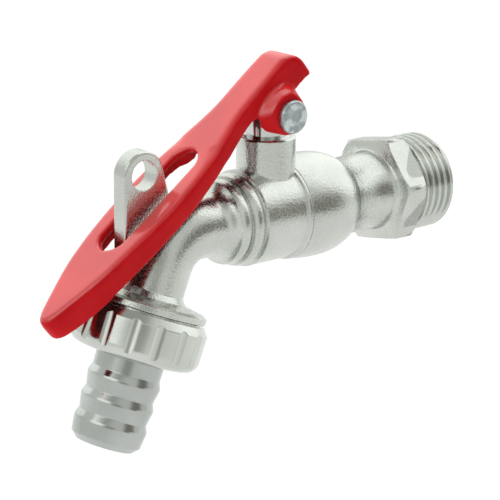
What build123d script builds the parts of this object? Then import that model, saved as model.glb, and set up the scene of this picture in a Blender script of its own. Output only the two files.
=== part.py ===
"""Lockable hose tap: a quarter turn ball valve whose lever drops over a padlock lug.

Frame: the origin is on the inlet axis at the hexagon's outer shoulder, +X runs out along the
inlet thread and +Z runs up the stem. The tap is closed and the lever lies down over the lug.
"""

import os
from math import cos, radians, sin, sqrt

from build123d import *

os.makedirs("parts", exist_ok=True)

# Inlet end: G 1/2 male thread, hexagon, neck and dome
thread_diameter = 20.955
inlet_thread_length = 10.4
thread_end_chamfer = 1.1
hex_across_flats = 21.4
hex_length = 5.6
hex_chamfer = 1.1
hex_turn = 10.0
neck_diameter = 16.6
neck_bead = 0.5
dome_diameter = 22.2
dome_length = 15.4
dome_crown = 6.4
dome_mouth_drop = 0.55
inlet_bore = 10.0

# Tap body along the inlet axis, measured from the stem axis
stem_to_shoulder = 35.7
seam_offset = 4.15
seam_gap = 0.1
chamber_diameter = 20.1
chamber_reach = 7.7
rim_width = 1.4
rim_height = 0.5
bead_width = 2.75
bead_groove = 0.35
first_bead_drop = 0.4
second_bead_drop = 1.15
flare_length = 3.2
cavity_diameter = 15.2
cavity_reach = 9.3
spigot_diameter = 17.6
spigot_length = 3.9
joint_ring_thickness = 1.05
joint_clearance = 0.1

# Elbow and spout, measured from the crossing of the inlet and spout axes
elbow_offset = 25.3
spout_tilt = 22.2
pipe_diameter = 13.1
waterway_diameter = 9.6
bend_radius = 9.6
collar_diameter = 24.7
collar_start = 12.8
collar_cone = 1.7
collar_rim = 1.3
collar_fillet = 0.9
spout_end = 20.6

# Stem boss and padlock lug
boss_diameter = 12.3
boss_height = 16.5
boss_chamfer = 0.35
lug_thickness = 3.9
lug_head_radius = 4.8
lug_hole_diameter = 6.2
lug_offset = 33.0
lug_hole_height = 13.4
lug_back_slope = 15.0
lug_foot = 8.0
lug_edge_round = 0.5

# Ball, seats and stem
ball_diameter = 14.4
ball_bore = 9.0
ball_slot_depth = 2.4
seat_gap = 0.06
seat_front = 4.9
seat_clearance = 0.1
stem_diameter = 8.0
shaft_diameter = 6.0
stem_clearance = 0.05
shaft_bottom = 7.5
tongue_thickness = 2.8
tongue_width = 5.2
tongue_clearance = 0.1
gland_diameter = 10.0
gland_length = 2.3
gland_clearance = 0.05
shoulder_diameter = 9.2
shoulder_thickness = 1.25
washer_thickness = 0.5
washer_gap = 0.05
o_ring_section = 1.0
o_ring_groove_width = 1.3
o_ring_heights = (9.2, 11.2)

# Rivet and lever
rivet_height = 21.7
rivet_diameter = 3.9
rivet_clearance = 0.05
rivet_head_diameter = 6.9
rivet_head_thickness = 1.3
rivet_head_round = 0.55
lever_slope = 38.5
lever_top = 8.0
lever_depth = 5.2
lever_wall = 1.8
lever_top_wall = 1.8
bar_half_width = 3.45
leaf_half_width = 7.66
lever_tip = 66.6
lever_tip_radius = 2.5
lever_tip_slope = 38.0
tip_rise = 2.2
tip_rise_start = 52.0
nose_place = 60.0
nose_half_width = 4.5
cheek_place = 51.0
cheek_half_width = 7.1
neck_place = 21.5
neck_half_width = 6.6
lever_heel = 11.4
heel_drop = 2.0
heel_round = 4.4
shoulder_start = 11.0
leaf_widest = 37.0
lever_edge_round = 1.2
lever_foot_round = 0.7
lever_slot_start = 18.5
lever_slot_length = 28.0
lever_slot_width = 7.6
slot_edge_round = 0.4
fork_gap = 8.6
fork_half_width = 7.8
eye_radius = 4.1
web_length = 12.6
web_height = 6.0
web_rise = 1.9
web_root = 3.0

# Union nut and hose tail
nut_diameter = 26.8
nut_gap = 0.4
nut_length = 10.1
nut_top_chamfer = 1.0
nut_top_chamfer_length = 1.7
nut_foot_round = 2.4
nut_foot_cone = 0.9
nut_floor = 3.0
nut_thread_clearance = 0.12
nut_bore_clearance = 0.3
grip_grooves = 16
grip_radius = 2.0
grip_depth = 0.32
union_washer_thickness = 1.0
tail_face_gap = 0.05
tail_diameter = 14.3
tail_bore = 10.4
barb_height = 0.4
barb_count = 3
barb_pitch = 4.6
barb_rise = 1.7
first_barb = 30.9
tail_end = 44.4
tail_end_round = 1.2

# Places worked out from the driving dimensions
stem_x = -stem_to_shoulder
seam_x = stem_x + seam_offset
chamber_radius = chamber_diameter / 2
pipe_radius = pipe_diameter / 2
thread_radius = thread_diameter / 2
stem_radius = stem_diameter / 2
shaft_radius = shaft_diameter / 2
gland_radius = gland_diameter / 2
gland_bottom = boss_height - gland_length
shoulder_top = gland_bottom - washer_gap
shoulder_bottom = shoulder_top - shoulder_thickness
washer_bottom = shoulder_bottom - washer_gap - washer_thickness
gland_floor = washer_bottom - washer_gap
boss_radius = boss_diameter / 2
spigot_end = seam_x + spigot_length
joint_shoulder_x = spigot_end + joint_ring_thickness + 2 * joint_clearance
elbow_x = stem_x - elbow_offset
spout_sin = sin(radians(spout_tilt))
spout_cos = cos(radians(spout_tilt))
spout_direction = (-spout_sin, 0, -spout_cos)
spout_plane = Plane(origin=(elbow_x, 0, 0), x_dir=(-spout_cos, 0, spout_sin), z_dir=(0, -1, 0))
spout_axis = Axis((elbow_x, 0, 0), spout_direction)


def along_spout(distance):
    """Point on the spout axis, at a distance from the crossing of the two axes."""
    return (elbow_x - distance * spout_sin, -distance * spout_cos)


# Lever plane: local x runs up the lever to its heel, local y across it, local z out of its top
lever_sin = sin(radians(lever_slope))
lever_cos = cos(radians(lever_slope))
rivet_centre = (stem_x, 0, rivet_height)
lever_plane = Plane(origin=rivet_centre, x_dir=(lever_cos, 0, lever_sin), z_dir=(-lever_sin, 0, lever_cos))
lever_side = Plane(origin=rivet_centre, x_dir=(lever_cos, 0, lever_sin), z_dir=(0, -1, 0))
rivet_axis_plane = Plane(origin=rivet_centre, x_dir=(1, 0, 0), z_dir=(0, -1, 0))

# Tap body: chamber and beads turned about the inlet axis
rim_x = seam_x - rim_width
chamber_end = stem_x - chamber_reach
first_bead_end = chamber_end - bead_width
second_bead_end = first_bead_end - bead_width
flare_end = second_bead_end - flare_length
first_bead_radius = chamber_radius - first_bead_drop
second_bead_radius = chamber_radius - second_bead_drop

with BuildPart() as tap_body:
    with BuildSketch(Plane.XZ) as chamber_profile:
        with BuildLine():
            seam_corner = (seam_x, chamber_radius + rim_height)
            rim_foot = (rim_x, chamber_radius)
            Line((flare_end, 0), (seam_x, 0))
            Line((seam_x, 0), seam_corner)
            ThreePointArc(seam_corner, (rim_x + rim_width / 3, chamber_radius + rim_height * 0.8), rim_foot)
            groove_1 = (chamber_end, first_bead_radius - bead_groove)
            groove_2 = (first_bead_end, second_bead_radius - bead_groove)
            shoulder_1 = (chamber_end + bead_groove, chamber_radius)
            Line(rim_foot, shoulder_1)
            Line(shoulder_1, groove_1)
            bead_1_middle = (chamber_end - bead_width / 2, first_bead_radius)
            ThreePointArc(groove_1, bead_1_middle, (first_bead_end, second_bead_radius + bead_groove))
            Line((first_bead_end, second_bead_radius + bead_groove), groove_2)
            bead_2_middle = (first_bead_end - bead_width / 2, second_bead_radius)
            bead_2_foot = (second_bead_end, second_bead_radius - bead_groove)
            ThreePointArc(groove_2, bead_2_middle, bead_2_foot)
            flare_middle = (second_bead_end - flare_length * 0.35, (bead_2_foot[1] + 2 * pipe_radius) / 3)
            ThreePointArc(bead_2_foot, flare_middle, (flare_end, pipe_radius))
            Line((flare_end, pipe_radius), (flare_end, 0))
        make_face()
    revolve(axis=Axis.X)
    # Elbow pipe, from the beads round to the spout collar
    pipe_foot = along_spout(collar_start + collar_cone)
    with BuildLine(Plane.XZ) as elbow_path:
        FilletPolyline((stem_x - chamber_reach, 0), (elbow_x, 0), pipe_foot, radius=bend_radius)
    with BuildSketch(Plane(origin=(stem_x - chamber_reach, 0, 0), z_dir=(-1, 0, 0))):
        Circle(pipe_radius)
    sweep(path=elbow_path.line)
    # Spout collar and thread, turned about the spout axis
    collar_radius = collar_diameter / 2
    collar_edge = collar_start + collar_cone
    collar_foot = collar_edge + collar_rim
    with BuildSketch(spout_plane):
        with BuildLine():
            Polyline(
                (0, collar_start - collar_fillet),
                (pipe_radius, collar_start - collar_fillet),
                (pipe_radius + collar_fillet, collar_start + collar_fillet * 0.4),
                (collar_radius - collar_fillet, collar_edge - collar_fillet * 0.6),
                (collar_radius, collar_edge),
                (collar_radius, collar_foot - collar_fillet * 0.3),
                (collar_radius - collar_fillet * 0.3, collar_foot),
                (thread_radius, collar_foot),
                (thread_radius, spout_end - thread_end_chamfer),
                (thread_radius - thread_end_chamfer, spout_end),
                (0, spout_end),
                close=True,
            )
        make_face()
    revolve(axis=spout_axis)
    # Stem boss
    with Locations((stem_x, 0, 0)):
        Cylinder(boss_radius, boss_height, align=(Align.CENTER, Align.CENTER, Align.MIN))
    chamfer(tap_body.edges().filter_by(GeomType.CIRCLE).sort_by(Axis.Z)[-1], length=boss_chamfer)
    # Padlock lug on the outside of the elbow
    lug_x = stem_x - lug_offset
    lug_front = lug_x - lug_head_radius
    back_sin = sin(radians(lug_back_slope))
    back_cos = cos(radians(lug_back_slope))
    back_tangent = (lug_x + lug_head_radius * back_cos, lug_hole_height + lug_head_radius * back_sin)
    back_run = back_tangent[1] / back_cos
    back_foot = (back_tangent[0] + back_run * back_sin, back_tangent[1] - back_run * back_cos)
    front_foot = along_spout(lug_foot)
    with BuildSketch(Plane.XZ):
        with BuildLine():
            head_top = (lug_x, lug_hole_height + lug_head_radius)
            ThreePointArc((lug_front, lug_hole_height), head_top, back_tangent)
            Line(back_tangent, back_foot)
            Line(back_foot, front_foot)
            front_turn = (lug_front, front_foot[1] + lug_head_radius)
            Line(front_foot, front_turn)
            Line(front_turn, (lug_front, lug_hole_height))
        make_face()
    extrude(amount=lug_thickness / 2, both=True)
    lug_rim = tap_body.edges().filter_by(GeomType.CIRCLE).sort_by(Axis.Z).filter_by_position(
        Axis.X, lug_front - 1, lug_x + 1)[-2:]
    fillet(lug_rim, radius=lug_edge_round)
    with Locations(Plane(origin=(lug_x, 0, lug_hole_height), z_dir=(0, -1, 0))):
        Hole(lug_hole_diameter / 2, depth=lug_thickness)
    # The boss stands clear of the end that screws on past the seam
    with BuildSketch(Plane(origin=(seam_x, 0, 0), z_dir=(1, 0, 0))):
        Circle(dome_diameter / 2 + 3 * joint_clearance)
    extrude(amount=spigot_length, mode=Mode.SUBTRACT)
    with BuildSketch(Plane(origin=(seam_x, 0, 0), z_dir=(1, 0, 0))):
        Circle(spigot_diameter / 2)
    extrude(amount=spigot_length)
    # Ball cavity, waterway and stem bore
    with BuildSketch(Plane(origin=(spigot_end, 0, 0), z_dir=(-1, 0, 0))):
        Circle(cavity_diameter / 2)
    extrude(amount=spigot_end - stem_x + cavity_reach, mode=Mode.SUBTRACT)
    with BuildLine(Plane.XZ) as waterway_path:
        FilletPolyline((stem_x - cavity_reach, 0), (elbow_x, 0), along_spout(spout_end), radius=bend_radius)
    with BuildSketch(Plane(origin=(stem_x - cavity_reach, 0, 0), z_dir=(-1, 0, 0))):
        Circle(waterway_diameter / 2)
    sweep(path=waterway_path.line, mode=Mode.SUBTRACT)
    with Locations((stem_x, 0, 0)):
        Cylinder(shaft_radius + stem_clearance, boss_height, align=(Align.CENTER, Align.CENTER, Align.MIN),
                 mode=Mode.SUBTRACT)
    with Locations((stem_x, 0, gland_floor)):
        Cylinder(gland_radius + gland_clearance, boss_height, align=(Align.CENTER, Align.CENTER, Align.MIN),
                 mode=Mode.SUBTRACT)
tap_body.part.label = "tap_body"
export_step(tap_body.part, "parts/tap_body.step")

# Inlet end: dome, neck and thread turned about the inlet axis, with a hexagon
dome_x = seam_x + seam_gap
dome_radius = dome_diameter / 2
neck_radius = neck_diameter / 2
dome_top = (dome_x + dome_crown, dome_radius)
dome_mouth = (dome_x, dome_radius - dome_mouth_drop)
dome_foot = (dome_x + dome_length, neck_radius)
hex_front = -hex_length

with BuildPart() as inlet_end:
    with BuildSketch(Plane.XZ):
        with BuildLine():
            Line((dome_x, 0), dome_mouth)
            dome_side = (dome_x + dome_crown * 0.45, dome_radius - dome_mouth_drop * 0.28)
            ThreePointArc(dome_mouth, dome_side, dome_top)
            dome_end_slope = (cos(radians(38)), -sin(radians(38)))
            Spline(dome_top, dome_foot, tangents=[(1, 0), dome_end_slope])
            Line(dome_foot, (hex_front - neck_bead * 2, neck_radius))
            Line((hex_front - neck_bead * 2, neck_radius), (hex_front, neck_radius + neck_bead))
            Line((hex_front, neck_radius + neck_bead), (hex_front, thread_radius - thread_end_chamfer))
            Line((hex_front, thread_radius - thread_end_chamfer), (0, thread_radius - thread_end_chamfer))
            Line((0, thread_radius - thread_end_chamfer), (0, thread_radius))
            Line((0, thread_radius), (inlet_thread_length - thread_end_chamfer, thread_radius))
            Line((inlet_thread_length - thread_end_chamfer, thread_radius),
                 (inlet_thread_length, thread_radius - thread_end_chamfer))
            Line((inlet_thread_length, thread_radius - thread_end_chamfer), (inlet_thread_length, 0))
            Line((inlet_thread_length, 0), (dome_x, 0))
        make_face()
    revolve(axis=Axis.X)
    with BuildPart(mode=Mode.PRIVATE) as hexagon:
        with BuildSketch(Plane(origin=(hex_front, 0, 0), x_dir=(0, 1, 0), z_dir=(1, 0, 0))):
            RegularPolygon(hex_across_flats / 2, 6, major_radius=False, rotation=-hex_turn)
        extrude(amount=hex_length)
        hex_corner = hex_across_flats / sqrt(3)
        with BuildSketch(Plane.XZ):
            with BuildLine():
                Polyline(
                    (hex_front, 0),
                    (hex_front, hex_corner - hex_chamfer),
                    (hex_front + hex_chamfer * 0.6, hex_corner),
                    (-hex_chamfer * 0.6, hex_corner),
                    (0, hex_corner - hex_chamfer),
                    (0, 0),
                    close=True,
                )
            make_face()
        revolve(axis=Axis.X, mode=Mode.INTERSECT)
    add(hexagon.part)
    with BuildSketch(Plane(origin=(dome_x, 0, 0), z_dir=(1, 0, 0))):
        Circle(spigot_diameter / 2 + joint_clearance)
    extrude(amount=joint_shoulder_x - dome_x, mode=Mode.SUBTRACT)
    with BuildSketch(Plane(origin=(dome_x, 0, 0), z_dir=(1, 0, 0))):
        Circle(inlet_bore / 2)
    extrude(amount=inlet_thread_length - dome_x, mode=Mode.SUBTRACT)
inlet_end.part.label = "inlet_end"
export_step(inlet_end.part, "parts/inlet_end.step")

# Sealing ring between the spigot and the inlet end's shoulder
with BuildPart() as body_joint_ring:
    with BuildSketch(Plane(origin=(spigot_end + joint_clearance, 0, 0), z_dir=(1, 0, 0))):
        Circle(spigot_diameter / 2)
        Circle(cavity_diameter / 2, mode=Mode.SUBTRACT)
    extrude(amount=joint_ring_thickness)
body_joint_ring.part.label = "body_joint_ring"
export_step(body_joint_ring.part, "parts/body_joint_ring.step")

# Ball, closed: its bore lies across the tap and its stem slot along the inlet axis
ball_radius = ball_diameter / 2
with BuildPart() as ball:
    with Locations((stem_x, 0, 0)):
        Sphere(ball_radius)
    with Locations(Plane(origin=(stem_x, 0, 0), z_dir=(0, 1, 0))):
        Cylinder(ball_bore / 2, ball_diameter, mode=Mode.SUBTRACT)
    with Locations((stem_x, 0, ball_radius)):
        Box(ball_diameter, tongue_thickness + 2 * tongue_clearance, 2 * ball_slot_depth, mode=Mode.SUBTRACT)
ball.part.label = "ball"
export_step(ball.part, "parts/ball.step")


# Seat rings, dished to the ball, one against each end of the cavity
def seat_ring(side, back_face):
    """Ring from the ball to the face that backs it; side is +1 for the inlet and -1 for the spout."""
    front = stem_x + side * seat_front
    length = abs(back_face - front) - joint_clearance
    with BuildPart() as ring:
        with BuildSketch(Plane(origin=(front, 0, 0), z_dir=(side, 0, 0))):
            Circle(cavity_diameter / 2 - seat_clearance)
            Circle(waterway_diameter / 2, mode=Mode.SUBTRACT)
        extrude(amount=length)
        with Locations((stem_x, 0, 0)):
            Sphere(ball_radius + seat_gap, rotation=(0, 0, 90), mode=Mode.SUBTRACT)
    return ring.part


inlet_seat = seat_ring(1, joint_shoulder_x)
inlet_seat.label = "inlet_seat"
export_step(inlet_seat, "parts/inlet_seat.step")
outlet_seat = seat_ring(-1, stem_x - cavity_reach)
outlet_seat.label = "outlet_seat"
export_step(outlet_seat, "parts/outlet_seat.step")

# Stem: tongue in the ball, sealed shaft, shoulder under the gland and a round top on the rivet
o_ring_radius = o_ring_section / 2
o_ring_middle = shaft_radius + stem_clearance / 2 - o_ring_radius
groove_floor = o_ring_middle - o_ring_radius
with BuildPart() as stem:
    tongue_bottom = ball_radius - ball_slot_depth + tongue_clearance
    with Locations((stem_x, 0, tongue_bottom)):
        Box(tongue_width, tongue_thickness, shaft_bottom - tongue_bottom,
            align=(Align.CENTER, Align.CENTER, Align.MIN))
    with Locations((stem_x, 0, shaft_bottom)):
        Cylinder(shaft_radius, shoulder_bottom - shaft_bottom, align=(Align.CENTER, Align.CENTER, Align.MIN))
    with Locations((stem_x, 0, shoulder_bottom)):
        Cylinder(shoulder_diameter / 2, shoulder_thickness, align=(Align.CENTER, Align.CENTER, Align.MIN))
        Cylinder(stem_radius, rivet_height - shoulder_bottom, align=(Align.CENTER, Align.CENTER, Align.MIN))
    with Locations(rivet_centre):
        Sphere(stem_radius)
    for height in o_ring_heights:
        with BuildSketch(Plane(origin=(stem_x, 0, height - o_ring_groove_width / 2), z_dir=(0, 0, 1))):
            Circle(stem_diameter)
            Circle(groove_floor, mode=Mode.SUBTRACT)
        extrude(amount=o_ring_groove_width, mode=Mode.SUBTRACT)
    with Locations(rivet_axis_plane):
        Cylinder(rivet_diameter / 2 + rivet_clearance, 2 * stem_diameter, mode=Mode.SUBTRACT)
stem.part.label = "stem"
export_step(stem.part, "parts/stem.step")

# Gland ring, screwed into the boss round the stem, that keeps its shoulder in
with BuildPart() as stem_gland:
    with BuildSketch(Plane(origin=(stem_x, 0, gland_bottom), z_dir=(0, 0, 1))):
        Circle(gland_radius)
        Circle(stem_radius + stem_clearance, mode=Mode.SUBTRACT)
    extrude(amount=gland_length)
stem_gland.part.label = "stem_gland"
export_step(stem_gland.part, "parts/stem_gland.step")

with BuildPart() as stem_thrust_washer:
    with BuildSketch(Plane(origin=(stem_x, 0, washer_bottom), z_dir=(0, 0, 1))):
        Circle(shoulder_diameter / 2)
        Circle(shaft_radius + stem_clearance, mode=Mode.SUBTRACT)
    extrude(amount=washer_thickness)
stem_thrust_washer.part.label = "stem_thrust_washer"
export_step(stem_thrust_washer.part, "parts/stem_thrust_washer.step")

for name, height in zip(("stem_o_ring_lower", "stem_o_ring_upper"), o_ring_heights):
    with BuildPart() as o_ring:
        with Locations((stem_x, 0, height)):
            Torus(o_ring_middle, o_ring_radius)
    o_ring.part.label = name
    export_step(o_ring.part, f"parts/{name}.step")

# Rivet through the fork and the stem, with a head on each side
with BuildPart() as handle_rivet:
    with BuildSketch(Plane(origin=rivet_centre, x_dir=(1, 0, 0), z_dir=(0, 0, 1))):
        with BuildLine():
            head_face = fork_half_width + rivet_head_thickness
            Polyline(
                (0, -head_face),
                (rivet_head_diameter / 2, -head_face),
                (rivet_head_diameter / 2, -fork_half_width),
                (rivet_diameter / 2, -fork_half_width),
                (rivet_diameter / 2, fork_half_width),
                (rivet_head_diameter / 2, fork_half_width),
                (rivet_head_diameter / 2, head_face),
                (0, head_face),
                close=True,
            )
        make_face()
    revolve(axis=Axis(rivet_centre, (0, 1, 0)))
    head_rims = handle_rivet.edges().filter_by(GeomType.CIRCLE).group_by(Axis.Y)
    fillet(head_rims[0] + head_rims[-1], radius=rivet_head_round)
handle_rivet.part.label = "handle_rivet"
export_step(handle_rivet.part, "parts/handle_rivet.step")

# Lever: a channel with a skirt, a long slot that the lug stands in and a fork on the stem
lever_foot = lever_top - lever_depth
heel_foot = lever_foot - heel_drop
heel_start = fork_gap / 2
hollow_end = -shoulder_start + bar_half_width


def lever_outline(inset, end):
    """Outline of the lever in its plane, drawn inside the real one by an inset, up to an end."""
    tip_cos = cos(radians(lever_tip_slope))
    tip_sin = sin(radians(lever_tip_slope))
    tip_x = -lever_tip + inset
    side_start = (tip_x + lever_tip_radius * (1 - tip_sin), lever_tip_radius * tip_cos)
    waist = (-shoulder_start, bar_half_width - inset)
    with BuildLine() as outline:
        Spline(
            side_start,
            (-nose_place + inset * 0.5, nose_half_width - inset),
            (-cheek_place, cheek_half_width - inset),
            (-leaf_widest, leaf_half_width - inset),
            (-neck_place, neck_half_width - inset),
            waist,
            tangents=[(tip_cos, tip_sin), (1, 0)],
        )
        Line(waist, (end, bar_half_width - inset))
        mirror(outline.line, about=Plane.XZ)
        Line((end, bar_half_width - inset), (end, inset - bar_half_width))
        ThreePointArc(side_start, (tip_x, 0), (side_start[0], -side_start[1]))
    return outline.line


with BuildPart() as handle:
    lever_along = Axis(rivet_centre, lever_plane.x_dir)
    lever_up = Axis(rivet_centre, lever_plane.z_dir)
    with BuildSketch(lever_plane.offset(heel_foot)):
        make_face(lever_outline(0, lever_heel).edges())
    extrude(amount=lever_top - heel_foot)
    fillet(handle.faces().sort_by(lever_along)[-1].edges().sort_by(lever_up)[-1], radius=heel_round)
    top_rim = handle.faces().sort_by(lever_up)[-1].edges() - handle.edges().filter_by(Axis.Y)
    heel_arcs = handle.edges().filter_by(GeomType.CIRCLE).sort_by(lever_along)[-2:]
    heel_corners = handle.edges().filter_by(lever_up).sort_by(lever_along)[-2:]
    fillet(top_rim + heel_arcs + heel_corners, radius=lever_edge_round)
    # The skirt stops short of the heel's foot
    with Locations(lever_plane.offset(heel_foot)):
        with Locations((heel_start, 0, 0)):
            Box(2 * lever_tip, 4 * leaf_half_width, heel_drop, align=(Align.MAX, Align.CENTER, Align.MIN),
                mode=Mode.SUBTRACT)
    # Towards the tip the skirt's foot rises in an arc
    rise_run = lever_tip - tip_rise_start
    rise_radius = (rise_run**2 + tip_rise**2) / (2 * tip_rise)
    with BuildSketch(lever_side):
        with BuildLine():
            rise_start = (-tip_rise_start, lever_foot)
            rise_end = (-lever_tip, lever_foot + tip_rise)
            RadiusArc(rise_start, rise_end, rise_radius)
            Line(rise_end, (-lever_tip, lever_foot))
            Line((-lever_tip, lever_foot), rise_start)
        make_face()
    extrude(amount=2 * leaf_half_width, both=True, mode=Mode.SUBTRACT)
    foot_rim = [edge for edge in handle.edges().filter_by(Axis.Y, reverse=True)
                if lever_plane.to_local_coords(edge.center()).Z < lever_foot + tip_rise / 2 + lever_foot_round
                and lever_plane.to_local_coords(edge.center()).X < heel_start]
    fillet(foot_rim, radius=lever_foot_round)
    # Slot that the lug stands in, then the hollow under the leaf
    with BuildSketch(lever_plane.offset(lever_foot)):
        with Locations((-lever_slot_start - lever_slot_length / 2, 0)):
            SlotOverall(lever_slot_length, lever_slot_width)
    extrude(amount=lever_depth, mode=Mode.SUBTRACT)
    slot_rim = handle.faces().sort_by(Axis(rivet_centre, lever_plane.z_dir))[-1].inner_wires()[0].edges()
    fillet(slot_rim, radius=slot_edge_round)
    with BuildSketch(lever_plane.offset(lever_foot - lever_wall)):
        make_face(lever_outline(lever_wall, hollow_end).edges())
    extrude(amount=lever_depth + lever_wall - lever_top_wall, mode=Mode.SUBTRACT)
    # Fork: a web flares out on each side from the bar to a round eye on the rivet
    for side in (-1, 1):
        web_plane = Plane(origin=(stem_x, side * web_root, rivet_height),
                          x_dir=lever_side.x_dir, z_dir=lever_side.z_dir)
        eye_plane = Plane(origin=(stem_x, side * fork_half_width, rivet_height),
                          x_dir=lever_side.x_dir, z_dir=lever_side.z_dir)
        with BuildSketch(web_plane) as web_sketch:
            with Locations((0, web_rise)):
                Ellipse(web_length / 2, web_height / 2)
        with BuildSketch(eye_plane) as eye_sketch:
            Ellipse(eye_radius * 1.001, eye_radius)
        loft(sections=[web_sketch.sketch, eye_sketch.sketch])
    # Gap for the stem between the cheeks, with a round roof over its top
    with Locations(lever_plane):
        with Locations((heel_start, 0, lever_foot)):
            Box(2 * web_length, fork_gap, 2 * eye_radius + lever_foot,
                align=(Align.MAX, Align.CENTER, Align.MAX), mode=Mode.SUBTRACT)
        Sphere(fork_gap / 2, mode=Mode.SUBTRACT)
    with Locations(rivet_axis_plane):
        Cylinder((rivet_diameter + rivet_clearance) / 2, 4 * fork_half_width, mode=Mode.SUBTRACT)
handle.part.label = "handle"
export_step(handle.part, "parts/handle.step")

# Union nut, turned about the spout axis, with shallow grip grooves
nut_radius = nut_diameter / 2
nut_top = collar_foot + nut_gap
nut_foot = nut_top + nut_length
tail_radius = tail_diameter / 2
with BuildPart() as union_nut:
    nut_bore = thread_radius + nut_thread_clearance
    nut_floor_face = nut_foot - nut_floor
    with BuildSketch(spout_plane) as nut_profile:
        with BuildLine():
            Polyline(
                (nut_bore, nut_top),
                (nut_radius - nut_top_chamfer, nut_top),
                (nut_radius, nut_top + nut_top_chamfer_length),
                (nut_radius, nut_foot - nut_foot_cone),
                (tail_radius + nut_bore_clearance, nut_foot),
                (tail_radius + nut_bore_clearance, nut_floor_face),
                (nut_bore, nut_floor_face),
                close=True,
            )
        make_face()
        foot_corner = nut_profile.vertices().sort_by_distance((nut_radius, nut_foot - nut_foot_cone))[0]
        fillet(foot_corner, radius=nut_foot_round)
    revolve(axis=spout_axis)
    groove_centre = nut_radius - grip_depth + grip_radius
    with BuildSketch(Plane(origin=spout_plane.from_local_coords((0, nut_top, 0)), x_dir=spout_plane.x_dir,
                           z_dir=spout_direction)):
        with PolarLocations(groove_centre, grip_grooves):
            Circle(grip_radius)
    extrude(amount=nut_length, mode=Mode.SUBTRACT)
union_nut.part.label = "union_nut"
export_step(union_nut.part, "parts/union_nut.step")

# Flat seal between the spout's end and the hose tail's flange
with BuildPart() as union_washer:
    with BuildSketch(Plane(origin=spout_plane.from_local_coords((0, spout_end + tail_face_gap, 0)),
                           z_dir=spout_direction)):
        Circle(thread_radius - thread_end_chamfer)
        Circle(tail_bore / 2, mode=Mode.SUBTRACT)
    extrude(amount=union_washer_thickness)
union_washer.part.label = "union_washer"
export_step(union_washer.part, "parts/union_washer.step")

# Hose tail: flange held by the nut, then a neck and rounded barbs
flange_top = spout_end + union_washer_thickness + 2 * tail_face_gap
flange_foot = nut_floor_face - tail_face_gap
with BuildPart() as hose_tail:
    barb_points = []
    for index in range(barb_count):
        crest = first_barb + index * barb_pitch
        barb_points += [(tail_radius - barb_height * 0.4, crest - barb_rise),
                        (tail_radius + barb_height * 0.85, crest - barb_rise * 0.25),
                        (tail_radius + barb_height, crest)]
    with BuildSketch(spout_plane):
        with BuildLine():
            Polyline(
                (tail_bore / 2, flange_top),
                (thread_radius - nut_thread_clearance, flange_top),
                (thread_radius - nut_thread_clearance, flange_foot),
                (tail_radius, flange_foot),
                *barb_points,
                (tail_radius, tail_end - tail_end_round),
                (tail_radius - tail_end_round, tail_end),
                (tail_bore / 2, tail_end),
                close=True,
            )
        make_face()
    revolve(axis=spout_axis)
hose_tail.part.label = "hose_tail"
export_step(hose_tail.part, "parts/hose_tail.step")
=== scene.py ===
"""Lockable hose tap in a white studio: cast nickel body, turned spout parts, red coated lever."""

from math import cos, floor, pi, radians, sin, tan

import bmesh
import bpy
from mathutils import Matrix, Vector

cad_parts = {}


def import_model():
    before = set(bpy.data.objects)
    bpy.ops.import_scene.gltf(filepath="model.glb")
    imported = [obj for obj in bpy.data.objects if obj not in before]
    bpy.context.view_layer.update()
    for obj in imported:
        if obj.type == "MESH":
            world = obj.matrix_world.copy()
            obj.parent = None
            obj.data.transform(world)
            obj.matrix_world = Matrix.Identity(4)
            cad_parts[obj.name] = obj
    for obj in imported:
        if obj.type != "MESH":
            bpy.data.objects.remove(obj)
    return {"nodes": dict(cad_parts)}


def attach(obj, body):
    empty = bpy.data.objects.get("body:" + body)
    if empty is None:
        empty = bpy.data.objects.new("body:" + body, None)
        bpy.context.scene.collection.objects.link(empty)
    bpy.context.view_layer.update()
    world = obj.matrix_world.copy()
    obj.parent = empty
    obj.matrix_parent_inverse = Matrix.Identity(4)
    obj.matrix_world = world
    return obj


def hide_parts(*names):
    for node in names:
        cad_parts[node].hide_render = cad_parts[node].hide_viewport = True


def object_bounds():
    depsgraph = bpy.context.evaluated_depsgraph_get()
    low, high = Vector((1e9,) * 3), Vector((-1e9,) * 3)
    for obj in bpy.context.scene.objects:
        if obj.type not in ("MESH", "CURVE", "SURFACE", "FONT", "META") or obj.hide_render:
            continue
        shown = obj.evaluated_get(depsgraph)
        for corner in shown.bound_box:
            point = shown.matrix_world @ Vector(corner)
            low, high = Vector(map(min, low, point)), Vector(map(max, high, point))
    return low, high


MM = 0.001

# Camera, at the photograph's angle; the frame is taken as 500 by 500
CAMERA_AZIMUTH = radians(-40.52)
CAMERA_ELEVATION = radians(16.40)
CAMERA_ROLL = radians(0.56)
CAMERA_DISTANCE = 433.0 * MM
CAMERA_AIM = Vector((-39.453, 0.315, -7.589)) * MM
CAMERA_LENS = 150.1

# Inlet thread: G 1/2, in place of the CAD solid's plain cylinder; crest and root are shares of the pitch
THREAD_RADIUS = 10.4775 * MM
THREAD_PITCH = 1.814 * MM
THREAD_DEPTH = 1.05 * MM
THREAD_LENGTH = 10.4 * MM
THREAD_CREST = 0.2
THREAD_ROOT = 0.22
THREAD_END_CHAMFER = 1.1 * MM
THREAD_STUB = 0.05 * MM
INLET_BORE_RADIUS = 5.0 * MM
THREAD_SIDES = 144
THREAD_STEPS = 130
THREAD_SHARP_ANGLE = radians(28)

# Mesh work
WELD_DISTANCE = 0.0005 * MM
CUT_DISTANCE = 0.0001 * MM

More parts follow.
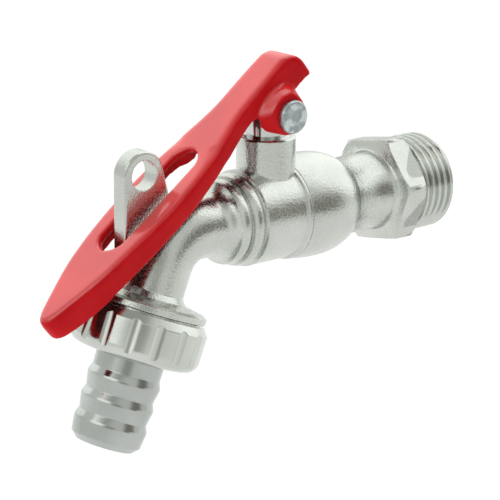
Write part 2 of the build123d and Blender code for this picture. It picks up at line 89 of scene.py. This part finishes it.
# Lever: how the thick coat changes the solid's form, in mm from the rivet's axis
LEVER_SLOPE = radians(38.5)
LEVER_ALONG = Vector((-cos(LEVER_SLOPE), 0.0, -sin(LEVER_SLOPE)))
LEVER_UP = Vector((-sin(LEVER_SLOPE), 0.0, cos(LEVER_SLOPE)))
RIVET_PLACE = Vector((-35.7, 0.0, 21.7))
LEVER_HEEL = -11.4
LEVER_NOSE = 61.0
LEVER_TIP = 66.6
LEVER_SLICE = 1.2
SLICE_TOLERANCE = 0.01
FORK_FACE = 7.8
FORK_ROOT = 0.5
SLOT_EDGE = 3.8
SLOT_NARROWING = -0.35
SLOT_SPAN = (16.0, 18.4, 46.6, 50.0)
SLOT_RIM_LEAST = 0.1
LEVER_TOP = 8.0
WEB_TOP = 6.3
# Stations along the lever: place and value
COAT_HALF_WIDTHS = [(-11.4, 4.0), (0.0, 4.3), (8.0, 4.6), (18.5, 7.0), (33.0, 8.4), (50.5, 6.65), (60.0, 4.1),
                    (66.6, 1.5)]
LENGTH_GAINS = [(50.0, 0.0), (66.6, -0.75)]
FEET = [(-6.0, 0.8), (-4.3, 2.8), (52.0, 2.8), (66.6, 5.0)]
FOOT_GAINS = [(-6.0, -0.25), (-4.3, 0.95), (45.0, 0.8), (52.0, 0.75), (66.6, -1.4)]
TOP_GAINS = [(22.0, -0.1), (28.0, 0.15), (39.0, 0.7), (45.0, 0.95)]
COAT_VOXEL = 0.36 * MM
COAT_SMOOTHING = 10

# Finishes
NICKEL_BRIGHT = (0.69, 0.715, 0.675, 1.0)
NICKEL_DULL = (0.60, 0.625, 0.585, 1.0)
TAIL_BRIGHT = (0.55, 0.575, 0.555, 1.0)
TAIL_DULL = (0.46, 0.485, 0.465, 1.0)
SPOUT_TILT = radians(22.2)
SPOUT_AXIS = Vector((-sin(SPOUT_TILT), 0.0, -cos(SPOUT_TILT)))
INLET_AXIS = Vector((1.0, 0.0, 0.0))

# Studio
FLOOR_DROP = 60.0 * MM
FLOOR_SIZE = 1.8
FLOOR_PALE = (0.88, 0.88, 0.88, 1.0)
FLOOR_WHITENESS = 0.85
FLOOR_GLOW = 0.6
FLOOR_MIRRORED = (0.80, 0.81, 0.79, 1.0)
WHITE = (1.0, 1.0, 1.0, 1.0)
TENT_LIGHT = (0.26, 0.26, 0.26, 1.0)
TENT_COLOUR = (0.74, 0.75, 0.73, 1.0)
# Panels that the metal mirrors: azimuth, elevation, angle of the full panel and of its soft edge, colour
TENT_PANELS = [
    (100, 40, 34, 50, (1.36, 1.38, 1.35, 1.0)),
    (172, 28, 22, 38, (1.20, 1.22, 1.19, 1.0)),
    (-80, 38, 16, 28, (1.36, 1.38, 1.35, 1.0)),
    (-35, 76, 14, 34, (0.42, 0.42, 0.40, 1.0)),
    (30, 6, 12, 27, (0.24, 0.23, 0.20, 1.0)),
    (-38, 14, 6, 24, (0.42, 0.42, 0.39, 1.0)),
]
# Lamps: name, azimuth, elevation and half angle in degrees, brightness
SOFTBOXES = [
    ("back_softbox", 180, 52, 32, 2.3),
    ("right_softbox", 100, 36, 30, 1.7),
    ("left_softbox", -85, 38, 18, 1.8),
]
SOFTBOX_DISTANCE = 1.2
SOFTBOX_AIM = Vector((-40.0, 0.0, 0.0)) * MM


def main():
    """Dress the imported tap, light it and set the camera."""
    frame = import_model()
    cad_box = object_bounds()
    finishes = make_finishes()
    dress_nodes(frame, finishes)
    inlet = make_threaded_inlet(frame, finishes)
    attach(inlet, "body")
    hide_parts("inlet_end")
    lever = make_coated_lever(frame, finishes)
    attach(lever, "lever")
    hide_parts("handle")
    make_studio(cad_box)
    set_camera()
    bpy.context.scene.view_settings.view_transform = "Standard"


# Node helpers


def link(tree, output, target):
    """Join an output socket to an input socket."""
    tree.links.new(output, target)


def math_node(tree, operation, *values):
    """Math node on sockets or plain numbers; gives its output socket."""
    node = tree.nodes.new("ShaderNodeMath")
    node.operation = operation
    for index, value in enumerate(values):
        if isinstance(value, bpy.types.NodeSocket):
            link(tree, value, node.inputs[index])
        else:
            node.inputs[index].default_value = value
    return node.outputs[0]


def remap(tree, value, low, high, to_low=0.0, to_high=1.0):
    """Smooth map of a value from one span to another; gives its output socket."""
    node = tree.nodes.new("ShaderNodeMapRange")
    node.interpolation_type = "SMOOTHSTEP"
    node.inputs["From Min"].default_value = low
    node.inputs["From Max"].default_value = high
    node.inputs["To Min"].default_value = to_low
    node.inputs["To Max"].default_value = to_high
    link(tree, value, node.inputs["Value"])
    return node.outputs["Result"]


def blend_colours(tree, factor, first, second):
    """Mix of two colours, each a socket or four numbers; gives its output socket."""
    node = tree.nodes.new("ShaderNodeMix")
    node.data_type = "RGBA"
    link(tree, factor, node.inputs["Factor"])
    for socket, value in ((node.inputs[6], first), (node.inputs[7], second)):
        if isinstance(value, bpy.types.NodeSocket):
            link(tree, value, socket)
        else:
            socket.default_value = value
    return node.outputs[2]


def new_group(name, inputs, outputs):
    """Empty shader node group with named float inputs and outputs; gives the tree and its two ends."""
    tree = bpy.data.node_groups.new(name, "ShaderNodeTree")
    for label, default in inputs:
        socket = tree.interface.new_socket(label, in_out="INPUT", socket_type="NodeSocketFloat")
        socket.default_value = default
    for label in outputs:
        tree.interface.new_socket(label, in_out="OUTPUT", socket_type="NodeSocketFloat")
    return tree, tree.nodes.new("NodeGroupInput"), tree.nodes.new("NodeGroupOutput")


def noise(tree, coordinates, scale, detail=2.0, roughness=0.5):
    """Noise texture on object coordinates; scale is a socket or a number."""
    node = tree.nodes.new("ShaderNodeTexNoise")
    node.inputs["Detail"].default_value = detail
    node.inputs["Roughness"].default_value = roughness
    link(tree, coordinates, node.inputs["Vector"])
    if isinstance(scale, bpy.types.NodeSocket):
        link(tree, scale, node.inputs["Scale"])
    else:
        node.inputs["Scale"].default_value = scale
    return node.outputs["Fac"]


def make_grain_group():
    """Grain of a blasted casting or a thick coat: a height, and specks that change the gloss."""
    tree, start, end = new_group("plate_grain", [("Size", 0.4), ("Pits", 0.5)], ["Height", "Specks", "Cloud"])
    place = tree.nodes.new("ShaderNodeTexCoord").outputs["Object"]
    fine_scale = math_node(tree, "DIVIDE", 1.0 / MM, start.outputs["Size"])
    coarse_scale = math_node(tree, "MULTIPLY", fine_scale, 0.38)
    fine = noise(tree, place, fine_scale, detail=1.5)
    coarse = noise(tree, place, coarse_scale, detail=2.0)
    cloud = noise(tree, place, 90.0, detail=2.0)
    pitted = math_node(tree, "MULTIPLY", coarse, start.outputs["Pits"])
    link(tree, math_node(tree, "ADD", fine, pitted), end.inputs["Height"])
    link(tree, remap(tree, fine, 0.36, 0.68), end.inputs["Specks"])
    link(tree, remap(tree, cloud, 0.32, 0.7), end.inputs["Cloud"])
    return tree


def make_turned_group():
    """Fine lines that a lathe leaves round an axis; the place along the axis comes in, in metres."""
    tree, start, end = new_group("turned_lines", [("Along", 0.0), ("Spacing", 0.2)], ["Height", "Sheen"])
    spacing = math_node(tree, "MULTIPLY", start.outputs["Spacing"], MM)
    steps = tree.nodes.new("ShaderNodeCombineXYZ")
    link(tree, math_node(tree, "DIVIDE", start.outputs["Along"], spacing), steps.inputs["X"])
    lines = noise(tree, steps.outputs["Vector"], 1.0, detail=2.0)
    link(tree, lines, end.inputs["Height"])
    link(tree, remap(tree, lines, 0.35, 0.65), end.inputs["Sheen"])
    return tree


# Finishes


def new_finish(name, colour, metallic, roughness):
    """Material with a Principled shader; gives the material, its tree and the shader."""
    material = bpy.data.materials.new(name)
    material.use_nodes = True
    shader = material.node_tree.nodes["Principled BSDF"]
    shader.inputs["Base Color"].default_value = colour
    shader.inputs["Metallic"].default_value = metallic
    shader.inputs["Roughness"].default_value = roughness
    material.diffuse_color = colour
    return material, material.node_tree, shader


def add_group(tree, group, **values):
    """Place a node group in a material with its own values."""
    node = tree.nodes.new("ShaderNodeGroup")
    node.node_tree = group
    for name, value in values.items():
        node.inputs[name].default_value = value
    return node


def add_bump(tree, shader, height, distance, strength=1.0, edge=0.3 * MM):
    """Bump node from a height, over softened edges, to the shader's normal."""
    softened = tree.nodes.new("ShaderNodeBevel")
    softened.samples = 4
    softened.inputs["Radius"].default_value = edge
    bump = tree.nodes.new("ShaderNodeBump")
    link(tree, softened.outputs["Normal"], bump.inputs["Normal"])
    bump.inputs["Strength"].default_value = strength
    bump.inputs["Distance"].default_value = distance
    link(tree, height, bump.inputs["Height"])
    link(tree, bump.outputs["Normal"], shader.inputs["Normal"])


def cast_nickel(grain):
    """Satin nickel over a blasted brass casting, with a fine grain and faint clouds."""
    material, tree, shader = new_finish("cast_nickel", NICKEL_BRIGHT, 1.0, 0.28)
    surface = add_group(tree, grain, Size=0.50, Pits=0.9)
    tint = blend_colours(tree, surface.outputs["Cloud"], NICKEL_DULL, NICKEL_BRIGHT)
    link(tree, tint, shader.inputs["Base Color"])
    gloss = remap(tree, surface.outputs["Specks"], 0.0, 1.0, 0.30, 0.19)
    link(tree, gloss, shader.inputs["Roughness"])
    add_bump(tree, shader, surface.outputs["Height"], 0.046 * MM, 0.9)
    return material


def turned_nickel(name, grain, turned, axis, dull=NICKEL_DULL, bright=NICKEL_BRIGHT):
    """Nickel over turned brass: smoother than the casting, with faint tool lines round the axis."""
    material, tree, shader = new_finish(name, bright, 1.0, 0.18)
    surface = add_group(tree, grain, Size=0.5, Pits=0.5)
    tint = blend_colours(tree, surface.outputs["Cloud"], dull, bright)
    link(tree, tint, shader.inputs["Base Color"])
    along = tree.nodes.new("ShaderNodeVectorMath")
    along.operation = "DOT_PRODUCT"
    along.inputs[1].default_value = axis
    link(tree, tree.nodes.new("ShaderNodeTexCoord").outputs["Object"], along.inputs[0])
    lines = add_group(tree, turned, Spacing=0.16)
    link(tree, along.outputs["Value"], lines.inputs["Along"])
    gloss = remap(tree, lines.outputs["Sheen"], 0.0, 1.0, 0.19, 0.12)
    link(tree, gloss, shader.inputs["Roughness"])
    height = math_node(tree, "MULTIPLY_ADD", lines.outputs["Height"], 0.35, surface.outputs["Height"])
    add_bump(tree, shader, height, 0.008 * MM, 0.7)
    return material


def polished_plate(grain):
    """Bright plate on the stem, the gland and the ball."""
    bright = (0.74, 0.75, 0.73, 1.0)
    dull = (0.62, 0.63, 0.61, 1.0)
    material, tree, shader = new_finish("polished_plate", bright, 1.0, 0.1)
    surface = add_group(tree, grain, Size=0.6, Pits=0.2)
    link(tree, blend_colours(tree, surface.outputs["Cloud"], dull, bright), shader.inputs["Base Color"])
    link(tree, remap(tree, surface.outputs["Specks"], 0.0, 1.0, 0.14, 0.08), shader.inputs["Roughness"])
    add_bump(tree, shader, surface.outputs["Height"], 0.004 * MM, 0.6)
    return material


def zinc_plate(grain):
    """Zinc plated rivet, a little bluish, mottled and lightly hammered."""
    bright = (0.66, 0.72, 0.73, 1.0)
    dull = (0.40, 0.46, 0.46, 1.0)
    material, tree, shader = new_finish("zinc_plate", bright, 1.0, 0.3)
    surface = add_group(tree, grain, Size=1.6, Pits=1.6)
    link(tree, blend_colours(tree, surface.outputs["Specks"], dull, bright), shader.inputs["Base Color"])
    link(tree, remap(tree, surface.outputs["Specks"], 0.0, 1.0, 0.4, 0.24), shader.inputs["Roughness"])
    add_bump(tree, shader, surface.outputs["Height"], 0.10 * MM, 0.8)
    return material


def red_coat(grain):
    """Thick red coat with a slight orange peel, glossy on top, with painted shade: near black red where it
    faces down under the lever.
    """
    red = (0.64, 0.004, 0.010, 1.0)
    bright = (0.74, 0.012, 0.016, 1.0)
    # near black red painted as shade on the lever's underside
    painted_underside_shade = (0.07, 0.012, 0.011, 1.0)
    material, tree, shader = new_finish("red_coat", red, 0.0, 0.4)
    shader.inputs["Specular IOR Level"].default_value = 0.08
    shader.inputs["Coat IOR"].default_value = 1.9
    shader.inputs["Coat Roughness"].default_value = 0.12
    surface = add_group(tree, grain, Size=0.9, Pits=0.8)
    upward = tree.nodes.new("ShaderNodeVectorMath")
    upward.operation = "DOT_PRODUCT"
    upward.inputs[1].default_value = LEVER_UP
    link(tree, tree.nodes.new("ShaderNodeTexCoord").outputs["Normal"], upward.inputs[0])
    link(tree, remap(tree, upward.outputs["Value"], 0.45, 0.92, 0.02, 1.0), shader.inputs["Coat Weight"])
    # painted shade: faces turned down, under the lever, take the near black red in place of the coat's own
    # red
    painted_shade_mask = remap(tree, upward.outputs["Value"], -0.9, -0.6, 1.0, 0.0)
    tint = blend_colours(tree, surface.outputs["Cloud"], red, bright)
    link(tree, blend_colours(tree, painted_shade_mask, tint, painted_underside_shade), shader.inputs["Base Color"])
    link(tree, remap(tree, surface.outputs["Specks"], 0.0, 1.0, 0.44, 0.34), shader.inputs["Roughness"])
    add_bump(tree, shader, surface.outputs["Height"], 0.006 * MM, 0.6)
    return material


def seat_plastic(grain):
    """White sealing plastic of the seats and washers, faintly mottled."""
    light = (0.84, 0.83, 0.80, 1.0)
    shade = (0.74, 0.73, 0.69, 1.0)
    material, tree, shader = new_finish("seat_plastic", light, 0.0, 0.45)
    surface = add_group(tree, grain, Size=0.5, Pits=0.4)
    link(tree, blend_colours(tree, surface.outputs["Cloud"], shade, light), shader.inputs["Base Color"])
    link(tree, remap(tree, surface.outputs["Specks"], 0.0, 1.0, 0.55, 0.4), shader.inputs["Roughness"])
    add_bump(tree, shader, surface.outputs["Height"], 0.006 * MM, 0.5)
    return material


def seal_rubber(grain):
    """Black seal rubber, matt with a fine bloom."""
    black = (0.018, 0.018, 0.018, 1.0)
    bloom = (0.05, 0.05, 0.048, 1.0)
    material, tree, shader = new_finish("seal_rubber", black, 0.0, 0.6)
    surface = add_group(tree, grain, Size=0.4, Pits=0.6)
    link(tree, blend_colours(tree, surface.outputs["Cloud"], black, bloom), shader.inputs["Base Color"])
    link(tree, remap(tree, surface.outputs["Specks"], 0.0, 1.0, 0.7, 0.5), shader.inputs["Roughness"])
    add_bump(tree, shader, surface.outputs["Height"], 0.010 * MM, 0.6)
    return material


def make_finishes():
    """All finishes by name."""
    grain = make_grain_group()
    turned = make_turned_group()
    return {
        "cast_nickel": cast_nickel(grain),
        "turned_nickel": turned_nickel("turned_nickel", grain, turned, SPOUT_AXIS),
        "tail_nickel": turned_nickel("tail_nickel", grain, turned, SPOUT_AXIS, TAIL_DULL, TAIL_BRIGHT),
        "threaded_nickel": turned_nickel("threaded_nickel", grain, turned, INLET_AXIS),
        "polished_plate": polished_plate(grain),
        "zinc_plate": zinc_plate(grain),
        "red_coat": red_coat(grain),
        "seat_plastic": seat_plastic(grain),
        "seal_rubber": seal_rubber(grain),
    }


NODE_FINISHES = {
    "tap_body": "cast_nickel",
    "inlet_end": "cast_nickel",
    "union_nut": "turned_nickel",
    "hose_tail": "tail_nickel",
    "stem": "polished_plate",
    "stem_gland": "polished_plate",
    "ball": "polished_plate",
    "handle_rivet": "zinc_plate",
    "handle": "red_coat",
    "inlet_seat": "seat_plastic",
    "outlet_seat": "seat_plastic",
    "body_joint_ring": "seat_plastic",
    "stem_thrust_washer": "seat_plastic",
    "stem_o_ring_lower": "seal_rubber",
    "stem_o_ring_upper": "seal_rubber",
    "union_washer": "seal_rubber",
}


def dress_nodes(frame, finishes):
    """Give each CAD node its finish."""
    for name, node in frame["nodes"].items():
        node.data.materials.clear()
        node.data.materials.append(finishes[NODE_FINISHES[name]])


# Inlet end with its thread


def thread_radius(turn, along):
    """Radius of the cut thread at a part of a turn and a distance from the shoulder."""
    phase = along / THREAD_PITCH - turn
    phase -= floor(phase)
    distance = abs(phase - 0.5) * 2
    flank = (distance - THREAD_CREST) / (1 - THREAD_CREST - THREAD_ROOT)
    cut = THREAD_DEPTH * min(max(flank, 0.0), 1.0)
    chamfer = THREAD_RADIUS - THREAD_END_CHAMFER - THREAD_STUB + THREAD_LENGTH - along
    return min(THREAD_RADIUS - cut, chamfer)


def make_thread_shell(bm):
    """Closed tube with a helical thread outside and the waterway inside."""
    rings = []
    for step in range(THREAD_STEPS + 1):
        along = THREAD_LENGTH * step / THREAD_STEPS
        ring = []
        for side in range(THREAD_SIDES):
            turn = side / THREAD_SIDES
            radius = thread_radius(turn, along)
            angle = 2 * pi * turn
            ring.append(bm.verts.new((along, radius * cos(angle), radius * sin(angle))))
        rings.append(ring)
    for along in (THREAD_LENGTH, 0.0):
        ring = []
        for side in range(THREAD_SIDES):
            angle = 2 * pi * side / THREAD_SIDES
            ring.append(bm.verts.new((along, INLET_BORE_RADIUS * cos(angle), INLET_BORE_RADIUS * sin(angle))))
        rings.append(ring)
    faces = []
    for index, ring in enumerate(rings):
        following = rings[(index + 1) % len(rings)]
        for side in range(THREAD_SIDES):
            after = (side + 1) % THREAD_SIDES
            faces.append(bm.faces.new((ring[side], following[side], following[after], ring[after])))
    bmesh.ops.recalc_face_normals(bm, faces=faces)
    for face in faces:
        face.material_index = 1


def make_threaded_inlet(frame, finishes):
    """The inlet end with its plain cylinder cut off at the shoulder and a real thread put there."""
    bm = bmesh.new()
    bm.from_mesh(frame["nodes"]["inlet_end"].data)
    bmesh.ops.remove_doubles(bm, verts=bm.verts, dist=WELD_DISTANCE)
    cut = bmesh.ops.bisect_plane(
        bm, geom=bm.verts[:] + bm.edges[:] + bm.faces[:], dist=CUT_DISTANCE,
        plane_co=(THREAD_STUB, 0, 0), plane_no=(1, 0, 0), clear_outer=True,
    )
    rim = [item for item in cut["geom_cut"] if isinstance(item, bmesh.types.BMEdge)]
    bmesh.ops.bridge_loops(bm, edges=rim)
    bmesh.ops.recalc_face_normals(bm, faces=bm.faces)
    make_thread_shell(bm)
    mesh = bpy.data.meshes.new("threaded_inlet")
    bm.to_mesh(mesh)
    bm.free()
    mesh.materials.append(finishes["cast_nickel"])
    mesh.materials.append(finishes["threaded_nickel"])
    mesh.shade_smooth()
    mesh.set_sharp_from_angle(angle=THREAD_SHARP_ANGLE)
    inlet = bpy.data.objects.new("threaded_inlet", mesh)
    bpy.context.scene.collection.objects.link(inlet)
    return inlet


# Lever under its coat


def at_station(stations, place):
    """Value at a place along the lever, straight between stations."""
    for (start, low), (end, high) in zip(stations, stations[1:]):
        if place < end:
            return low + (high - low) * max(place - start, 0.0) / (end - start)
    return stations[-1][1]


def curve_at(stations, place):
    """Value at a place along the lever, on a smooth curve through the stations."""
    slopes = [0.0]
    for before, after in zip(stations, stations[2:]):
        slopes.append((after[1] - before[1]) / (after[0] - before[0]))
    slopes.append((stations[-1][1] - stations[-2][1]) / (stations[-1][0] - stations[-2][0]))
    for index, ((start, low), (end, high)) in enumerate(zip(stations, stations[1:])):
        if place <= end:
            span = end - start
            share = ease(place, start, end)
            bend = share * (1 - share) * span
            rise = (1 - share) * slopes[index] - share * slopes[index + 1]
            level = low + (high - low) * share**2 * (3 - 2 * share)
            return level + bend * rise
    return stations[-1][1]


def ease(value, low, high):
    """Share of the way from one value to another, kept within 0 and 1."""
    return min(max((value - low) / (high - low), 0.0), 1.0)


def measure_half_widths(points):
    """Half width of the lever's solid above its fork, at each slice: places and values."""
    widest = {}
    for along, across, up in points:
        place = LEVER_HEEL + LEVER_SLICE * round((along - LEVER_HEEL) / LEVER_SLICE)
        if up > WEB_TOP and abs(along - place) < SLICE_TOLERANCE:
            widest[place] = max(widest.get(place, 0.0), abs(across))
    return sorted(widest.items())


def coat_point(along, across, up, half_widths):
    """Place of a point of the lever's solid on the coat over it."""
    side = -1.0 if across < 0 else 1.0
    reach = abs(across)
    foot = at_station(FEET, along)
    half_width = at_station(half_widths, along)
    gain = (curve_at(COAT_HALF_WIDTHS, along) - half_width) * ease(along, LEVER_TIP, LEVER_NOSE)
    in_slot = ease(along, SLOT_SPAN[0], SLOT_SPAN[1]) * ease(along, SLOT_SPAN[3], SLOT_SPAN[2])
    if reach > half_width:
        spread = gain * ease(reach, FORK_FACE, half_width)
    else:
        beside_slot = SLOT_NARROWING * min(reach / SLOT_EDGE, 1.0)
        rim_edge = max(half_width, SLOT_EDGE + SLOT_RIM_LEAST)
        beside_slot += (gain - SLOT_NARROWING) * ease(reach, SLOT_EDGE, rim_edge)
        spread = gain * reach / half_width * (1 - in_slot) + beside_slot * in_slot
    spread *= ease(up, FORK_ROOT, foot)
    foot_gain = at_station(FOOT_GAINS, along)
    if up < foot:
        rise = foot_gain * max(up, 0.0) / foot
    else:
        rise = foot_gain + (at_station(TOP_GAINS, along) - foot_gain) * ease(up, foot, LEVER_TOP)
    return along + at_station(LENGTH_GAINS, along), side * (reach + spread), up + rise


def make_coated_lever(frame, finishes):
    """The lever's solid under a thick dipped coat: fuller, with round edges and a blended fork."""
    rivet = RIVET_PLACE * MM
    bm = bmesh.new()
    bm.from_mesh(frame["nodes"]["handle"].data)
    bmesh.ops.remove_doubles(bm, verts=bm.verts, dist=WELD_DISTANCE)
    for step in range(1, int((LEVER_TIP - LEVER_HEEL) / LEVER_SLICE)):
        cut = rivet + LEVER_ALONG * (LEVER_HEEL + LEVER_SLICE * step) * MM
        bmesh.ops.bisect_plane(bm, geom=bm.verts[:] + bm.edges[:] + bm.faces[:], dist=CUT_DISTANCE,
                               plane_co=cut, plane_no=LEVER_ALONG)
    offsets = [(vertex.co - rivet) / MM for vertex in bm.verts]
    points = [(offset.dot(LEVER_ALONG), offset.y, offset.dot(LEVER_UP)) for offset in offsets]
    half_widths = measure_half_widths(points)
    for vertex, point in zip(bm.verts, points):
        along, across, up = coat_point(*point, half_widths)
        vertex.co = rivet + (LEVER_ALONG * along + LEVER_UP * up + Vector((0.0, across, 0.0))) * MM
    bmesh.ops.recalc_face_normals(bm, faces=bm.faces)
    core = bpy.data.meshes.new("lever_core")
    bm.to_mesh(core)
    bm.free()
    shaped = bpy.data.objects.new("lever_core", core)
    bpy.context.scene.collection.objects.link(shaped)
    coat = shaped.modifiers.new("coat", "REMESH")
    coat.mode = "VOXEL"
    coat.voxel_size = COAT_VOXEL
    flow = shaped.modifiers.new("flow", "SMOOTH")
    flow.iterations = COAT_SMOOTHING
    mesh = bpy.data.meshes.new_from_object(shaped.evaluated_get(bpy.context.evaluated_depsgraph_get()))
    bpy.data.objects.remove(shaped)
    mesh.name = "coated_lever"
    mesh.materials.clear()
    mesh.materials.append(finishes["red_coat"])
    mesh.shade_smooth()
    lever = bpy.data.objects.new("coated_lever", mesh)
    bpy.context.scene.collection.objects.link(lever)
    return lever


# Studio


def make_floor(cad_box):
    """Pale floor under the tap, white to the camera but for the tap's soft shadow."""
    height = cad_box[0][2] - FLOOR_DROP
    bpy.ops.mesh.primitive_plane_add(size=FLOOR_SIZE, location=(0, 0, height))
    sheet = bpy.context.object
    sheet.name = "studio_floor"
    material, tree, shader = new_finish("studio_floor", FLOOR_PALE, 0.0, 0.9)
    path = tree.nodes.new("ShaderNodeLightPath")
    glow = tree.nodes.new("ShaderNodeEmission")
    shine = blend_colours(tree, path.outputs["Is Glossy Ray"], WHITE, FLOOR_MIRRORED)
    link(tree, shine, glow.inputs["Color"])
    mix = tree.nodes.new("ShaderNodeMixShader")
    seen = math_node(tree, "MULTIPLY", path.outputs["Is Camera Ray"], FLOOR_WHITENESS)
    mirrored = math_node(tree, "MULTIPLY", path.outputs["Is Glossy Ray"], FLOOR_GLOW)
    link(tree, math_node(tree, "MAXIMUM", seen, mirrored), mix.inputs["Fac"])
    link(tree, shader.outputs["BSDF"], mix.inputs[1])
    link(tree, glow.outputs["Emission"], mix.inputs[2])
    link(tree, mix.outputs["Shader"], tree.nodes["Material Output"].inputs["Surface"])
    sheet.data.materials.append(material)


def compass(azimuth, elevation):
    """Unit vector from the tap towards an azimuth, 0 being the front, and an elevation."""
    return Vector((sin(azimuth) * cos(elevation), -cos(azimuth) * cos(elevation), sin(elevation)))


def panel_mask(tree, direction, azimuth, elevation, core, edge):
    """Round soft-edged patch of the sky about a direction, the angles in degrees."""
    facing = tree.nodes.new("ShaderNodeVectorMath")
    facing.operation = "DOT_PRODUCT"
    facing.inputs[1].default_value = compass(radians(azimuth), radians(elevation))
    link(tree, direction, facing.inputs[0])
    return remap(tree, facing.outputs["Value"], cos(radians(edge)), cos(radians(core)))


def make_world():
    """White surroundings for the camera; the metal mirrors a grey tent with bright and dim panels."""
    world = bpy.data.worlds.new("white_tent")
    bpy.context.scene.world = world
    world.use_nodes = True
    tree = world.node_tree
    tree.nodes.clear()
    direction = tree.nodes.new("ShaderNodeTexCoord").outputs["Generated"]
    mirrored = TENT_COLOUR
    for azimuth, elevation, core, edge, colour in TENT_PANELS:
        mask = panel_mask(tree, direction, azimuth, elevation, core, edge)
        mirrored = blend_colours(tree, mask, mirrored, colour)
    path = tree.nodes.new("ShaderNodeLightPath")
    lit = blend_colours(tree, path.outputs["Is Glossy Ray"], TENT_LIGHT, mirrored)
    clear = math_node(tree, "MAXIMUM", path.outputs["Is Camera Ray"], path.outputs["Is Transmission Ray"])
    tent = tree.nodes.new("ShaderNodeBackground")
    link(tree, blend_colours(tree, clear, lit, WHITE), tent.inputs["Color"])
    link(tree, tent.outputs["Background"], tree.nodes.new("ShaderNodeOutputWorld").inputs["Surface"])


def add_softbox(name, azimuth, elevation, half_angle, brightness):
    """Square area lamp as large and as bright as it looks from the tap; the tent is what metal mirrors."""
    size = 2 * SOFTBOX_DISTANCE * tan(half_angle)
    lamp = bpy.data.lights.new(name, "AREA")
    lamp.shape = "SQUARE"
    lamp.size = size
    lamp.energy = brightness * pi * size**2
    box = bpy.data.objects.new(name, lamp)
    away = compass(azimuth, elevation)
    box.location = SOFTBOX_AIM + away * SOFTBOX_DISTANCE
    box.rotation_euler = away.to_track_quat("Z", "Y").to_euler()
    box.visible_glossy = False
    bpy.context.scene.collection.objects.link(box)


def make_studio(cad_box):
    """Floor, white tent and soft lamps."""
    make_floor(cad_box)
    make_world()
    for name, azimuth, elevation, half_angle, brightness in SOFTBOXES:
        add_softbox(name, radians(azimuth), radians(elevation), radians(half_angle), brightness)


def set_camera():
    """Camera at the photograph's angle, distance and lens."""
    back = compass(CAMERA_AZIMUTH, CAMERA_ELEVATION)
    right = Vector((cos(CAMERA_AZIMUTH), sin(CAMERA_AZIMUTH), 0))
    up = back.cross(right)
    rolled_right = right * cos(CAMERA_ROLL) + up * sin(CAMERA_ROLL)
    rolled_up = up * cos(CAMERA_ROLL) - right * sin(CAMERA_ROLL)
    turn = Matrix((rolled_right, rolled_up, back)).transposed()
    lens = bpy.data.cameras.new("photo_camera")
    lens.lens = CAMERA_LENS
    lens.clip_start = 0.01
    camera = bpy.data.objects.new("photo_camera", lens)
    camera.matrix_world = Matrix.Translation(CAMERA_AIM + back * CAMERA_DISTANCE) @ turn.to_4x4()
    bpy.context.scene.collection.objects.link(camera)
    bpy.context.scene.camera = camera


main()
